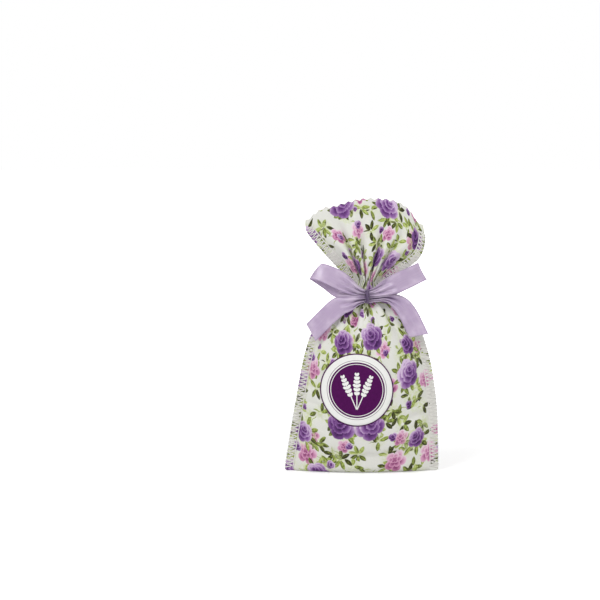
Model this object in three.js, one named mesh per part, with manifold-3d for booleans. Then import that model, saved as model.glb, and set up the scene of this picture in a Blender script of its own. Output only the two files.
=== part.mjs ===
// Lavender sachet: a cotton pouch full of lavender buds, tied at the neck with a satin bow.
// Millimetres, +Z up, the labelled front faces -Y, origin at the middle of the flat base.
import * as THREE from 'three';
import { mergeVertices } from 'three/addons/utils/BufferGeometryUtils.js';
import Module from 'manifold-3d';

const wasm = await Module();
wasm.setup();
const { cos, sin, PI, max, min, round } = Math;
const { lerp, smoothstep, degToRad } = THREE.MathUtils;

// Clearance between pieces that touch
const clearance = 0.3;

// Cloth pouch below the tie
const clothThickness = 0.5;
const clothWall = 0.9;
const seamAllowance = 4.5;
const baseWidth = 85;
const baseDepth = 20;
const baseEdgeRadius = 3.5;
const baseCornerRadius = 1.5;
const bellyHeight = 42;
const bellyWidth = 76.5;
const bellyDepth = 30;
const bellyShift = 2.5;
const neckHeight = 97;
const neckWidth = 13;
const neckDepth = 12.4;
const neckShift = 2.6;
const shoulderDrop = 20;
const shoulderWidth = 63;
const shoulderDepth = 27;
const collarDrop = 3;
const collarWidth = 33.5;
const collarDepth = 18.6;
const seamEndDrop = 12;
const gatherRise = 26;
const neckSeam = 1;
const neckHole = 4;
const gatherDepth = 1.1;
const gatherFolds = 5;
const bellyFullness = 1.8;
const neckFullness = 1;

// Lavender buds inside the pouch
const fillDrop = 16;
const fillMound = 4;

// Ruff of cloth above the tie, a fan with its centre on the bending line
const ruffHeight = 48;
const ruffSideHeight = 43;
const ruffHalfAngle = degToRad(49);
const ruffGap = 0.6;
const ruffSeamShare = 0.3;
const ruffPocketShare = 0.8;
const creaseOpening = 1.3;
const creaseRounding = 0.02;
const pinkingPitch = 5;
const pinkingDepth = 1.4;
const tieBundleRadius = 4.8;
const bendRise = 2;

// Swell of the ruff's panels between their creases, by share of the ruff's height
const ruffSwell = [[0, 4], [0.18, 6], [0.35, 6.6], [0.55, 6], [0.77, 4.1], [1, 1.9]];

// Creases of the ruff: place across its fan, width, depth, and the share of its height where they run out
const frontCreases = [
  [-0.86, 0.08, 0.7, 0.64], [-0.57, 0.11, 1, 1.14], [-0.13, 0.1, 1, 1.01],
  [0.29, 0.11, 1, 1.18], [0.63, 0.1, 1, 0.97], [0.86, 0.07, 0.7, 0.6],
];
const backCreases = [
  [-0.82, 0.08, 0.8, 0.72], [-0.4, 0.11, 1, 1.1], [0.02, 0.11, 1, 1.14],
  [0.46, 0.11, 1, 1.01], [0.83, 0.08, 0.8, 0.68],
];

// Overlocking thread along the side seams
const threadDiameter = 0.5;
const stitchPitch = 1.6;
const stitchSlant = 0.5;
const stitchReach = 0.8;

// Satin ribbon
const ribbonWidth = 10.4;
const ribbonThickness = 0.5;
const wrapHeight = 6.6;
const wrapThickness = 1.4;
const knotWidth = 4.6;
const knotHeight = 8.6;
const knotLeastDepth = 3;
const rootGap = 1;
const loopLength = 30;
const loopRise = degToRad(25);
const loopPuff = 5.4;
const loopRootWidth = 4;
const loopRootRise = 2.3;
const loopRootSplit = 1.1;
const tailRootWidth = 3.6;
const tailRootDrop = 2.9;
const tailDrapeStart = 0.2;
const tailFootprint = 0.6;
const tailStandOff = 6;
const loopFlareLength = 11;
const tailFlareLength = 16;
const tailCut = 3;

// Loop seen from its edge: shares of its length and of its puff, from the back root round to the front
const loopCourse = [[0, 0], [0.4, 0], [0.85, 0], [1, 0.3], [0.9, 0.75], [0.6, 1], [0.25, 0.7]];

// Tails: routes of their middles from the knot by hand, across and down from its middle
const leftTailRoute = [[-9, -4.8], [-15, -7.6], [-21, -11.4], [-26, -15.8], [-30.6, -20]];
const rightTailRoute = [[9, -3.2], [14.6, -4], [19.2, -6.2], [22.9, -10.6], [26, -16.4], [28.4, -21.6]];

// Round paper label on the front
const labelDiameter = 40;
const labelThickness = 0.3;
const labelHeight = 46.5;
const labelShift = -3;

// Fineness of the meshes
const footRows = 4;
const bellyRows = 9;
const collarRows = 7;
const pouchColumns = 26;
const insideColumns = 14;
const ruffRows = 8;
const toothColumns = 4;
const roundSides = 28;
const holeSides = 12;
const loopSteps = 26;
const tailSteps = 14;
const ribbonColumns = 4;
const labelRings = 4;
const labelSides = 40;

// Smooth curve through [height, value] stations
function through(stations) {
  const slope = (i) => {
    const before = stations[max(i - 1, 0)];
    const after = stations[min(i + 1, stations.length - 1)];
    return (after[1] - before[1]) / (after[0] - before[0]);
  };
  return (height) => {
    let i = 0;
    while (i < stations.length - 2 && height > stations[i + 1][0]) i += 1;
    const [low, start] = stations[i];
    const [high, end] = stations[i + 1];
    const span = high - low;
    const t = (height - low) / span;
    const ease = t * t * (3 - 2 * t);
    const leave = t * (1 - t) * (1 - t) * span * slope(i);
    const arrive = t * t * (1 - t) * span * slope(i + 1);
    return lerp(start, end, ease) + leave - arrive;
  };
}

// Closed geometry from points and triangles, with its faces turned outwards
function closedGeometry(points, triangles) {
  let volume = 0;
  const normal = new THREE.Vector3();
  for (let i = 0; i < triangles.length; i += 3) {
    const [a, b, c] = [0, 1, 2].map((k) => points[triangles[i + k]]);
    volume += normal.crossVectors(b, c).dot(a);
  }
  const geometry = new THREE.BufferGeometry().setFromPoints(points);
  geometry.setIndex(volume > 0 ? triangles : triangles.slice().reverse());
  return geometry;
}

// Skin over stations that each hold a front row and a back row of points, closed at both ends
function sheath(stations) {
  const count = stations[0].front.length;
  const points = stations.flatMap(({ front, back }) => [...front, ...back]);
  const front = (station, i) => 2 * count * station + i;
  const back = (station, i) => 2 * count * station + count + i;
  const triangles = [];
  const quad = (a, b, c, d) => triangles.push(a, b, c, a, c, d);
  const last = stations.length - 1;
  for (let i = 0; i + 1 < count; i += 1) {
    quad(front(0, i), back(0, i), back(0, i + 1), front(0, i + 1));
    quad(front(last, i), front(last, i + 1), back(last, i + 1), back(last, i));
  }
  for (let s = 0; s < last; s += 1) {
    for (let i = 0; i + 1 < count; i += 1) {
      quad(front(s, i), front(s, i + 1), front(s + 1, i + 1), front(s + 1, i));
      quad(back(s, i + 1), back(s, i), back(s + 1, i), back(s + 1, i + 1));
    }
    quad(back(s, 0), front(s, 0), front(s + 1, 0), back(s + 1, 0));
    quad(front(s, count - 1), back(s, count - 1), back(s + 1, count - 1), front(s + 1, count - 1));
  }
  return closedGeometry(points, triangles);
}

// Tube of four sides along points, mitred at each corner and closed at both ends
function tube(path, diameter) {
  const sides = 4;
  const points = [];
  const triangles = [];
  const headings = path.slice(1).map((point, i) => point.clone().sub(path[i]).normalize());
  const turn = new THREE.Quaternion();
  const side = new THREE.Vector3(0, 1, 0);
  path.forEach((point, i) => {
    const arriving = headings[max(i - 1, 0)];
    const leaving = headings[min(i, headings.length - 1)];
    const mitre = arriving.clone().add(leaving).normalize();
    const other = new THREE.Vector3().crossVectors(arriving, side);
    for (let k = 0; k < sides; k += 1) {
      const angle = (2 * PI * k) / sides;
      const corner = side.clone().multiplyScalar((cos(angle) * diameter) / 2);
      corner.addScaledVector(other, (sin(angle) * diameter) / 2);
      corner.addScaledVector(arriving, -corner.dot(mitre) / arriving.dot(mitre));
      points.push(corner.add(point));
    }
    side.applyQuaternion(turn.setFromUnitVectors(arriving, leaving));
  });
  for (let i = 0; i + 1 < path.length; i += 1) {
    for (let k = 0; k < sides; k += 1) {
      const [a, b] = [i * sides + k, i * sides + ((k + 1) % sides)];
      triangles.push(a, b, b + sides, a, b + sides, a + sides);
    }
  }
  const end = (path.length - 1) * sides;
  triangles.push(0, 2, 1, 0, 3, 2, end, end + 1, end + 2, end, end + 2, end + 3);
  return closedGeometry(points, triangles);
}

// Boolean solids
function solid(geometry) {
  const bare = geometry.clone();
  bare.deleteAttribute('normal');
  bare.deleteAttribute('uv');
  const merged = mergeVertices(bare);
  const vertProperties = new Float32Array(merged.attributes.position.array);
  const triVerts = new Uint32Array(merged.index.array);
  return new wasm.Manifold(new wasm.Mesh({ numProp: 3, vertProperties, triVerts }));
}

function geometryOf(body) {
  const mesh = body.getMesh();
  const geometry = new THREE.BufferGeometry();
  geometry.setAttribute('position', new THREE.BufferAttribute(mesh.vertProperties, 3));
  geometry.setIndex(new THREE.BufferAttribute(mesh.triVerts, 1));
  return geometry;
}

// Evenly spaced numbers from one end to the other
function spaced(from, to, steps) {
  return Array.from({ length: steps + 1 }, (_, i) => lerp(from, to, i / steps));
}

// Outline of the pouch by height: it is widest at the floor and straight inside the tie
const neckFoot = neckHeight - wrapHeight / 2 - clearance;
const collarHeight = neckFoot - collarDrop;
const shoulderHeight = neckFoot - shoulderDrop;
const sideProfile = through([
  [0, baseWidth / 2],
  [bellyHeight, bellyWidth / 2],
  [shoulderHeight, shoulderWidth / 2],
  [collarHeight, collarWidth / 2],
  [neckFoot, neckWidth / 2],
]);
const depthProfile = through([
  [0, baseDepth / 2],
  [bellyHeight, bellyDepth / 2],
  [shoulderHeight, shoulderDepth / 2],
  [collarHeight, collarDepth / 2],
  [neckFoot, neckDepth / 2],
]);
const swayProfile = through([
  [0, 0],
  [bellyHeight, bellyShift],
  [neckFoot, neckShift],
]);

// How far an edge rounded to a radius draws in at a height above the floor
function drawnIn(height, radius) {
  if (height >= radius) return 0;
  return radius - Math.sqrt(radius * radius - (radius - height) ** 2);
}
const centreLine = (z) => swayProfile(min(z, neckFoot));
const halfWidth = (z) => sideProfile(min(z, neckFoot)) - drawnIn(z, baseCornerRadius);
const halfDepth = (z) => depthProfile(min(z, neckFoot)) - drawnIn(z, baseEdgeRadius);
const seamWidth = (z) => lerp(seamAllowance, neckSeam, smoothstep(z, shoulderHeight, neckFoot));
const seamLine = (z) => halfWidth(z) - seamWidth(z);
const fullness = (z) => lerp(bellyFullness, neckFullness, smoothstep(z, shoulderHeight, neckFoot));

// Folds that the tie gathers into the cloth, largest just below it
function gather(z, spread, side) {
  const swell = smoothstep(z, neckFoot - gatherRise, collarHeight);
  const pinch = 1 - smoothstep(z, collarHeight, neckFoot);
  const phase = side < 0 ? 0 : PI / 3;
  const fold = cos(PI * gatherFolds * spread + phase) * (1 - spread ** 4);
  return gatherDepth * swell * pinch * fold;
}

// Distance from the middle plane to the cloth's outside, for spread from -1 to 1 between the seams
function pouchDepth(z, spread, side) {
  const crown = halfDepth(z) * max(cos((spread * PI) / 2), 0) ** fullness(z);
  return clothThickness + crown + gather(z, spread, side);
}

function pouchFront(x, z) {
  const reach = THREE.MathUtils.clamp((x - centreLine(z)) / seamLine(z), -1, 1);
  return -pouchDepth(z, (2 / PI) * Math.asin(reach), -1);
}

// Row of points inside one panel of the pouch, inset from its outside
function insideRow(z, side, spreads, inset, least) {
  return spreads.map((spread) => {
    const x = centreLine(z) + (seamLine(z) - inset) * sin((spread * PI) / 2);
    const depth = max(pouchDepth(z, spread, side) - inset, least);
    return new THREE.Vector3(x, side * depth, z);
  });
}

function insideStation(z, spreads, inset, least) {
  const row = (side) => insideRow(z, side, spreads, inset, least);
  return { front: row(-1), back: row(1) };
}

function pouchStation(z, spreads) {
  const panel = (side) => {
    const middle = spreads.map((spread) => {
      const x = centreLine(z) + seamLine(z) * sin((spread * PI) / 2);
      return new THREE.Vector3(x, side * pouchDepth(z, spread, side), z);
    });
    const edge = (way) => new THREE.Vector3(centreLine(z) + way * halfWidth(z), side * clothThickness, z);
    return [edge(-1), ...middle, edge(1)];
  };
  return { front: panel(-1), back: panel(1) };
}

// Tie: the bending line of the ruff, and the top of the pouch's neck below it
const bendHeight = neckHeight + wrapHeight / 2 + bendRise;
const neckTop = bendHeight - tieBundleRadius - clearance;

const footHeights = spaced(0, PI / 2, footRows).map((turn) => baseEdgeRadius * (1 - cos(turn)));
const bellyHeights = spaced(baseEdgeRadius, shoulderHeight, bellyRows).slice(1);
const collarHeights = [...spaced(shoulderHeight, neckFoot, collarRows).slice(1), neckTop];

function pouchCloth() {
  const heights = [...footHeights, ...bellyHeights, ...collarHeights];
  const outside = heights.map((z) => pouchStation(z, spaced(-1, 1, pouchColumns)));
  const insideHeights = [clothWall, ...bellyHeights, ...collarHeights.slice(0, -3)];
  const spreads = spaced(-1, 1, insideColumns);
  const cavity = insideHeights.map((z) => insideStation(z, spreads, clothWall, clothWall / 4));
  const hole = new THREE.CylinderGeometry(neckHole / 2, neckHole / 2, 2 * seamEndDrop, holeSides);
  hole.rotateX(PI / 2).translate(neckShift, 0, neckTop);
  return geometryOf(solid(sheath(outside)).subtract(solid(sheath(cavity))).subtract(solid(hole)));
}

// Heap of buds: it fills the pouch, short of the seams, and rounds over at its top
function lavenderFilling() {
  const inset = clothWall + clearance;
  const fillTop = neckFoot - fillDrop;
  const mound = bellyHeights.filter((z) => z < fillTop - fillMound);
  const heights = [inset, ...mound, fillTop - fillMound / 2, fillTop];
  const spreads = spaced(-1, 1, insideColumns).slice(1, -1);
  return sheath(heights.map((z) => {
    const drawIn = fillMound * smoothstep(z, fillTop - fillMound, fillTop);
    return insideStation(z, spreads, inset + drawIn, clothWall / 16);
  }));
}

// Ruff: radius runs from the bending line, spread from -1 to 1 across the fan
const ruffSeam = (radius) => min(seamAllowance, ruffSeamShare * radius * ruffHalfAngle);
const ruffReach = (spread) => 1 - (1 - ruffSideHeight / ruffHeight) * spread ** 2;

const ruffCrown = through(ruffSwell);

// Share of the swell that the creases take away: they open and fade on their way from the tie
function creased(share, spread, side) {
  const creases = side < 0 ? frontCreases : backCreases;
  const taken = creases.map(([place, width, depth, run]) => {
    const open = width * lerp(1 / 2, creaseOpening, smoothstep(share, 0, run));
    const near = Math.exp(-Math.hypot(spread - place, creaseRounding) / open);
    return depth * near * (1 - smoothstep(share, run / 2, run));
  });
  return min(taken.reduce((sum, part) => sum + part, 0), 1);
}

function ruffDepth(radius, spread, side) {
  const seamSpread = 1 - ruffSeam(radius) / (radius * ruffHalfAngle);
  const window = max(1 - (spread / seamSpread) ** 4, 0);
  const open = smoothstep(radius, 0, tieBundleRadius * 2);
  const share = min(radius / ruffHeight, 1);
  const crown = ruffCrown(share) * (1 - creased(share, spread, side));
  return clothThickness + window * open * (ruffGap + crown);
}

function ruffPoint(radius, spread, depth) {
  const length = radius * ruffReach(spread);
  const angle = spread * ruffHalfAngle;
  return new THREE.Vector3(neckShift + length * sin(angle), depth, bendHeight + length * cos(angle));
}

function ruffStation(radii, spreads, inset) {
  const panel = (side) => spreads.map((spread, i) => {
    const depth = max(ruffDepth(radii[i], spread, side) - inset, inset / 4);
    return ruffPoint(radii[i], spread, side * depth);
  });
  return { front: panel(-1), back: panel(1) };
}

function ruffCloth() {
  const teeth = round((2 * ruffHalfAngle * ruffHeight) / pinkingPitch);
  const spreads = spaced(-1, 1, toothColumns * teeth);
  const level = (radius, list) => list.map(() => radius);
  const stem = tieBundleRadius / 2;
  const rows = [stem, ...spaced(tieBundleRadius, ruffHeight - 2 * pinkingDepth, ruffRows)];
  const outside = rows.map((radius) => ruffStation(level(radius, spreads), spreads, 0));
  const notch = (i) => Math.abs(((2 * i) / toothColumns) % 2 - 1);
  const edge = spreads.map((_, i) => ruffHeight - pinkingDepth * notch(i));
  outside.push(ruffStation(edge, spreads, 0));
  const inner = spreads.filter((spread) => Math.abs(spread) <= ruffPocketShare);
  const mouth = [...rows.filter((radius) => radius > ruffHeight / 3), ruffHeight + pinkingDepth];
  const pocket = mouth.map((radius) => ruffStation(level(radius, inner), inner, clothWall));
  const bundle = new THREE.SphereGeometry(tieBundleRadius, roundSides, roundSides / 2);
  bundle.rotateX(PI / 2).translate(neckShift, 0, bendHeight);
  return geometryOf(solid(sheath(outside)).subtract(solid(sheath(pocket))).add(solid(bundle)));
}

// Overlocking: the thread laps over the cloth's edge to and fro, from face to face
function overlock(edgeAt, inwardAt, from, to, seamAt) {
  const stand = clothThickness + clearance + threadDiameter / 2;
  const lap = clearance + threadDiameter / 2;
  const path = [];
  const place = (along, inward, depth) => {
    const point = edgeAt(along).addScaledVector(inwardAt(along), inward);
    path.push(point.setY(depth));
  };
  const strands = round((to - from) / stitchPitch);
  for (let i = 0; i < strands; i += 1) {
    const along = from + i * stitchPitch;
    const face = i % 4 < 2 ? -stand : stand;
    const inner = () => place(along + stitchSlant, seamAt(along) * stitchReach, face);
    const outer = () => place(along, -lap, face);
    if (i % 2 === 0) {
      outer();
      inner();
    } else {
      inner();
      outer();
    }
  }
  return path;
}

// Least distance between strands of a thread that don't follow each other
function leastGap(path) {
  let least = Infinity;
  const strand = new THREE.Line3();
  const nearest = new THREE.Vector3();
  for (let i = 0; i + 1 < path.length; i += 1) {
    strand.set(path[i], path[i + 1]);
    for (let j = i + 3; j < min(path.length, i + 20); j += 1) {
      strand.closestPointToPoint(path[j], true, nearest);
      least = min(least, nearest.distanceTo(path[j]) - threadDiameter);
    }
  }
  return least;
}

function pouchSeam(way) {
  const edgeAt = (z) => new THREE.Vector3(centreLine(z) + way * halfWidth(z), 0, z);
  const inwardAt = () => new THREE.Vector3(-way, 0, 0);
  return overlock(edgeAt, inwardAt, baseEdgeRadius, neckFoot - seamEndDrop, seamWidth);
}

function ruffSeamPath(way) {
  const edgeAt = (radius) => ruffPoint(radius, way, 0);
  const angle = way * ruffHalfAngle;
  const inwardAt = () => new THREE.Vector3(-way * cos(angle), 0, way * sin(angle));
  const top = ruffHeight - 2 * pinkingDepth;
  return overlock(edgeAt, inwardAt, ruffHeight / 3, top, ruffSeam);
}

// Satin bow: the wrap round the neck, then the knot in front of it
const wrapReach = (half) => half + clothThickness + clearance;
const wrapFront = wrapReach(neckDepth / 2) + wrapThickness;
const ruffFront = max(...spaced(0, ruffHeight, 40).flatMap((radius) => (
  spaced(-1, 1, 40).map((spread) => ruffDepth(max(radius, 1), spread, -1)))));
const loopBack = loopRootSplit / 2 + ribbonThickness;
const bowPlane = -max(ruffFront + clearance + loopBack, wrapFront + clearance + knotLeastDepth / 2);
const knotHalfDepth = -bowPlane - wrapFront - clearance;

function neckWrap() {
  const inner = wrapReach(neckWidth / 2);
  const outer = inner + wrapThickness;
  const profile = [
    new THREE.Vector2(inner, -wrapHeight / 2),
    new THREE.Vector2(outer - wrapThickness / 2, -wrapHeight / 2),
    new THREE.Vector2(outer, -wrapHeight / 4),
    new THREE.Vector2(outer, wrapHeight / 4),
    new THREE.Vector2(outer - wrapThickness / 2, wrapHeight / 2),
    new THREE.Vector2(inner, wrapHeight / 2),
    new THREE.Vector2(inner, -wrapHeight / 2),
  ];
  const ring = new THREE.LatheGeometry(profile, roundSides).rotateX(PI / 2);
  ring.scale(1, wrapFront / outer, 1);
  return ring.translate(neckShift, 0, neckHeight);
}

function bowKnot() {
  const edge = knotWidth / 4;
  const radius = knotHeight / 2;
  const profile = [
    new THREE.Vector2(0, -knotWidth / 2),
    new THREE.Vector2(radius - edge, -knotWidth / 2),
    new THREE.Vector2(radius, -knotWidth / 2 + edge),
    new THREE.Vector2(radius, knotWidth / 2 - edge),
    new THREE.Vector2(radius - edge, knotWidth / 2),
    new THREE.Vector2(0, knotWidth / 2),
  ];
  const barrel = new THREE.LatheGeometry(profile, roundSides).rotateZ(PI / 2);
  barrel.scale(1, knotHalfDepth / radius, 1);
  return barrel.translate(neckShift, bowPlane, neckHeight);
}

// Ribbon of a width that flares from its gathered root, along points with a facing at each
function ribbonStrip(path, acrossAt, facingAt, widthAt, skewAt) {
  const stations = path.map((point, i) => {
    const side = (facing) => spaced(-1, 1, ribbonColumns).map((share) => {
      const place = point.clone().addScaledVector(acrossAt(i), (share * widthAt(i)) / 2);
      place.addScaledVector(facingAt(i), (facing * ribbonThickness) / 2);
      return place.addScaledVector(skewAt(i), share);
    });
    return { front: side(1), back: side(-1) };
  });
  return sheath(stations);
}

const flare = (root, reach, length) => lerp(root, ribbonWidth, smoothstep(reach, 0, length));
const rootX = (way) => neckShift + way * (knotWidth / 2 + rootGap);

// Loop: out along the back, round the tip and home over the puffed front
function bowLoop(way) {
  const outward = new THREE.Vector3(way * cos(loopRise), 0, sin(loopRise));
  const across = new THREE.Vector3(-way * sin(loopRise), 0, cos(loopRise));
  const root = new THREE.Vector3(rootX(way), bowPlane, neckHeight + loopRootRise);
  const half = loopRootSplit / 2;
  const bends = loopCourse.map(([reach, puff]) => (
    new THREE.Vector3(loopLength * reach, half - loopPuff * puff, 0)));
  const course = new THREE.CatmullRomCurve3([...bends, new THREE.Vector3(0, -half, 0)]);
  const steps = spaced(0, 1, loopSteps);
  const flat = steps.map((t) => course.getPoint(t));
  const path = flat.map((p) => root.clone().addScaledVector(outward, p.x).setY(bowPlane + p.y));
  const facing = steps.map((t) => {
    const along = course.getTangent(t);
    return outward.clone().multiplyScalar(-along.y).setY(along.x);
  });
  const none = new THREE.Vector3();
  const width = (i) => flare(loopRootWidth, flat[i].x, loopFlareLength);
  return ribbonStrip(path, () => across, (i) => facing[i], width, () => none);
}

// Tail: it leaves the knot in the bow's plane and comes to lie on the pouch
function ribbonTail(way, route) {
  const start = new THREE.Vector3(rootX(way) - neckShift, 0, -tailRootDrop);
  const course = new THREE.CatmullRomCurve3([start, ...route.map(([x, z]) => new THREE.Vector3(x, 0, z))]);
  const steps = spaced(0, 1, tailSteps);
  const length = course.getLength();
  const across = steps.map((t) => {
    const along = course.getTangentAt(t);
    return new THREE.Vector3(-along.z, 0, along.x).multiplyScalar(way);
  });
  const width = (i) => flare(tailRootWidth, steps[i] * length, tailFlareLength);
  const path = steps.map((t, i) => {
    const point = course.getPointAt(t).add(new THREE.Vector3(neckShift, 0, neckHeight));
    const cloth = spaced(-tailFootprint, tailFootprint, ribbonColumns).map((share) => {
      const under = point.clone().addScaledVector(across[i], share * width(i));
      return pouchFront(under.x, min(under.z, neckTop));
    });
    const lying = min(...cloth, -tailStandOff) - clearance - ribbonThickness;
    const sinking = lerp(bowPlane, lying, smoothstep(t, tailDrapeStart, 1));
    return point.setY(min(sinking, lying));
  });
  const facing = new THREE.Vector3(0, -1, 0);
  const slant = (i) => {
    const along = course.getTangentAt(1);
    return along.multiplyScalar(i === steps.length - 1 ? -tailCut / 2 : 0);
  };
  return ribbonStrip(path, (i) => across[i], () => facing, width, slant);
}

// Label: a paper disc laid on the front of the pouch
function roundLabel() {
  const rings = spaced(0, labelDiameter / 2, labelRings);
  const under = rings.map((radius) => new THREE.Vector2(radius, 0));
  const over = rings.map((radius) => new THREE.Vector2(radius, labelThickness)).reverse();
  const disc = new THREE.LatheGeometry([...under, ...over].reverse(), labelSides);
  const places = disc.attributes.position;
  for (let i = 0; i < places.count; i += 1) {
    const x = labelShift + places.getX(i);
    const z = labelHeight + places.getZ(i);
    places.setXYZ(i, x, pouchFront(x, z) - clearance - places.getY(i), z);
  }
  return disc;
}

// Scene graph
const finishes = {
  cotton: { color: 0xe8e8e2, roughness: 0.9, metalness: 0 },
  buds: { color: 0x7d7f9c, roughness: 1, metalness: 0 },
  thread: { color: 0xf0efe9, roughness: 0.8, metalness: 0 },
  satin: { color: 0xb9a5cd, roughness: 0.4, metalness: 0 },
  print: { color: 0x54005a, roughness: 0.6, metalness: 0 },
};
const sachet = new THREE.Group();

function addPiece(name, finish, geometry) {
  geometry.deleteAttribute('uv');
  geometry.deleteAttribute('normal');
  const closed = mergeVertices(geometry);
  closed.computeVertexNormals();
  const piece = new THREE.Mesh(closed, new THREE.MeshStandardMaterial(finishes[finish]));
  piece.name = name;
  sachet.add(piece);
}

addPiece('pouch_cloth', 'cotton', pouchCloth());
addPiece('lavender_filling', 'buds', lavenderFilling());
addPiece('ruff_cloth', 'cotton', ruffCloth());
for (const [side, way] of [['left', -1], ['right', 1]]) {
  const seams = { seam: pouchSeam(way), ruff: ruffSeamPath(way) };
  for (const [place, path] of Object.entries(seams)) {
    addPiece(`${side}_${place}_thread`, 'thread', tube(path, threadDiameter));
    console.log(`${side} ${place} thread: least gap to itself ${leastGap(path).toFixed(2)} mm`);
  }
  addPiece(`${side}_bow_loop`, 'satin', bowLoop(way));
}
addPiece('left_ribbon_tail', 'satin', ribbonTail(-1, leftTailRoute));
addPiece('right_ribbon_tail', 'satin', ribbonTail(1, rightTailRoute));
addPiece('neck_ribbon_wrap', 'satin', neckWrap());
addPiece('bow_knot', 'satin', bowKnot());
addPiece('round_label', 'print', roundLabel());

export default sachet;
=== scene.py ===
"""Lavender sachet: printed cotton bag, overlocked side seams, satin bow, round paper label, dried buds."""
import math
from contextlib import contextmanager

import bpy
import numpy as np
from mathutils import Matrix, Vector
from mathutils.bvhtree import BVHTree


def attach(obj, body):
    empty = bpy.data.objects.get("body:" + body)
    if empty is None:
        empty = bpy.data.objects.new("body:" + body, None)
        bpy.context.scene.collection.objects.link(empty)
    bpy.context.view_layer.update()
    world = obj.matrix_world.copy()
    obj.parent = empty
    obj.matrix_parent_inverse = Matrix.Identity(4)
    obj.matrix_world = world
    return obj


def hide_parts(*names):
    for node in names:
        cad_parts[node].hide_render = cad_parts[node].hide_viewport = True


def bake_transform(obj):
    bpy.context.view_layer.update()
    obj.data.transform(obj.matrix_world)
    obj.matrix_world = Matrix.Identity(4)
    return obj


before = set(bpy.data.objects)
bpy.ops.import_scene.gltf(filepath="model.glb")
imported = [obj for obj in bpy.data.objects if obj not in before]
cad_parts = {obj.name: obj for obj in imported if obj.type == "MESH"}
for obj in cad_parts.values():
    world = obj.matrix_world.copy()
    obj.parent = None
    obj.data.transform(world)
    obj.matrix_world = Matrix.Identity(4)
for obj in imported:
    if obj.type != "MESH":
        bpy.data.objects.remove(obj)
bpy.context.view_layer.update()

# All lengths below are in millimetres until they go into a mesh
MM = 0.001
FULL_TURN = 2 * math.pi

# Bag cloth, one strip folded at the bottom
CLOTH_WIDTH = 86.0
CLOTH_LENGTH = 322.0
PANEL_LENGTH = CLOTH_LENGTH / 2
CLOTH_THICKNESS = 0.32
SEAM_ALLOWANCE = 4.5
SEAM_LIE = 0.35
FLANGE_COLUMNS = 5
CROWN_COLUMNS = 92
PANEL_ROWS = 186
PINKING_TEETH = 17
PINKING_DEPTH = 1.1
NECK_HEIGHT = 97.0
NECK_FOOT = 93.4
NECK_TOP = 100.0
NECK_MIDDLE = 2.6
NECK_SEAM = 1.0
NECK_FULLNESS = 1.0
BASE_EDGE_RADIUS = 3.5
BASE_CORNER_RADIUS = 1.5
BELLY_HEIGHT = 42.0
BELLY_FULLNESS = 1.8
SHOULDER_HEIGHT = 73.4
RUFF_START = 8.5
RUFF_SEAM_SHARE = 0.224

# Overlocking: its thread, and the stretches that it runs along each edge, from the bottom fold
THREAD_THICKNESS = 0.62
STITCH_PITCH = 2.0
SEAM_STITCHES = (2.5, 91.0)
RUFF_STITCHES = (114.0, 157.5)

# Satin ribbon: single in the loops and tails, doubled in the wrap and the knot
RIBBON_WIDTH = 10.4
RIBBON_THICKNESS = 0.24
DOUBLED_THICKNESS = 0.5
RIBBON_COLUMNS = 24
PLEAT_SHARE = 0.55
BOW_DEPTH = -10.2
KNOT = np.array([NECK_MIDDLE, BOW_DEPTH, NECK_HEIGHT])

# Round label: its paper, and the radii of what is printed on it
LABEL_RADIUS = 20.0
LABEL_THICKNESS = 0.18
LABEL_MIDDLE = (-3.0, 46.5)
LABEL_RINGS = 12
RIM_RADIUS = 19.3
RING_LINE_RADIUS = 16.2
DISC_RADIUS = 15.2
DISC_LINE_RADIUS = 14.2
INK_EDGE = 0.15


def through(stations):
    """Smooth curve through pairs of place and value, level past both ends."""
    at, value = np.array(stations, float).T
    slope = np.gradient(value, at)
    slope[1:-1] = (value[2:] - value[:-2]) / (at[2:] - at[:-2])

    def curve(place):
        place = np.clip(place, at[0], at[-1])
        i = np.clip(np.searchsorted(at, place) - 1, 0, len(at) - 2)
        span = at[i + 1] - at[i]
        t = (place - at[i]) / span
        ease = t * t * (3 - 2 * t)
        leave = t * (1 - t) ** 2 * span * slope[i]
        arrive = t * t * (1 - t) * span * slope[i + 1]
        return value[i] + (value[i + 1] - value[i]) * ease + leave - arrive

    return curve


def step(value, low, high):
    """0 up to low and 1 past high, with a smooth step between them."""
    t = np.clip((value - low) / (high - low), 0, 1)
    return t * t * (3 - 2 * t)


def ripples(across, along, size, seed):
    """Smooth irregular waves of about one size, between -1 and 1."""
    luck = np.random.RandomState(seed)
    total = 0
    for _ in range(7):
        turn = luck.uniform(0, FULL_TURN)
        number = FULL_TURN / (size * luck.uniform(0.7, 1.5))
        path = across * math.cos(turn) + along * math.sin(turn)
        total = total + np.cos(path * number + luck.uniform(0, FULL_TURN))
    return total / 4.5


def unit(rows):
    return rows / np.linalg.norm(rows, axis=1)[:, None]


def reach_along(points):
    """Length along a line of points, at each of them."""
    lengths = np.linalg.norm(np.diff(points, axis=0), axis=1)
    return np.concatenate([[0], np.cumsum(lengths)])


def rows_at(marks, reach, rows):
    """Rows of numbers at marks, between rows of known reach."""
    return np.column_stack([np.interp(marks, reach, column) for column in rows.T])


def resampled(points, marks):
    """Points at shares of the length of a line of points."""
    reach = reach_along(points)
    return rows_at(marks, reach / reach[-1], points)


def deselect():
    if bpy.context.object and bpy.context.object.mode != "OBJECT":
        bpy.ops.object.mode_set(mode="OBJECT")
    bpy.ops.object.select_all(action="DESELECT")


def select_only(piece):
    deselect()
    piece.select_set(True)
    bpy.context.view_layer.objects.active = piece


@contextmanager
def edit_mode(piece):
    """Edit mode on one piece alone, with all of it selected."""
    select_only(piece)
    bpy.ops.object.mode_set(mode="EDIT")
    bpy.ops.mesh.select_all(action="SELECT")
    yield
    bpy.ops.object.mode_set(mode="OBJECT")


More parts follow.
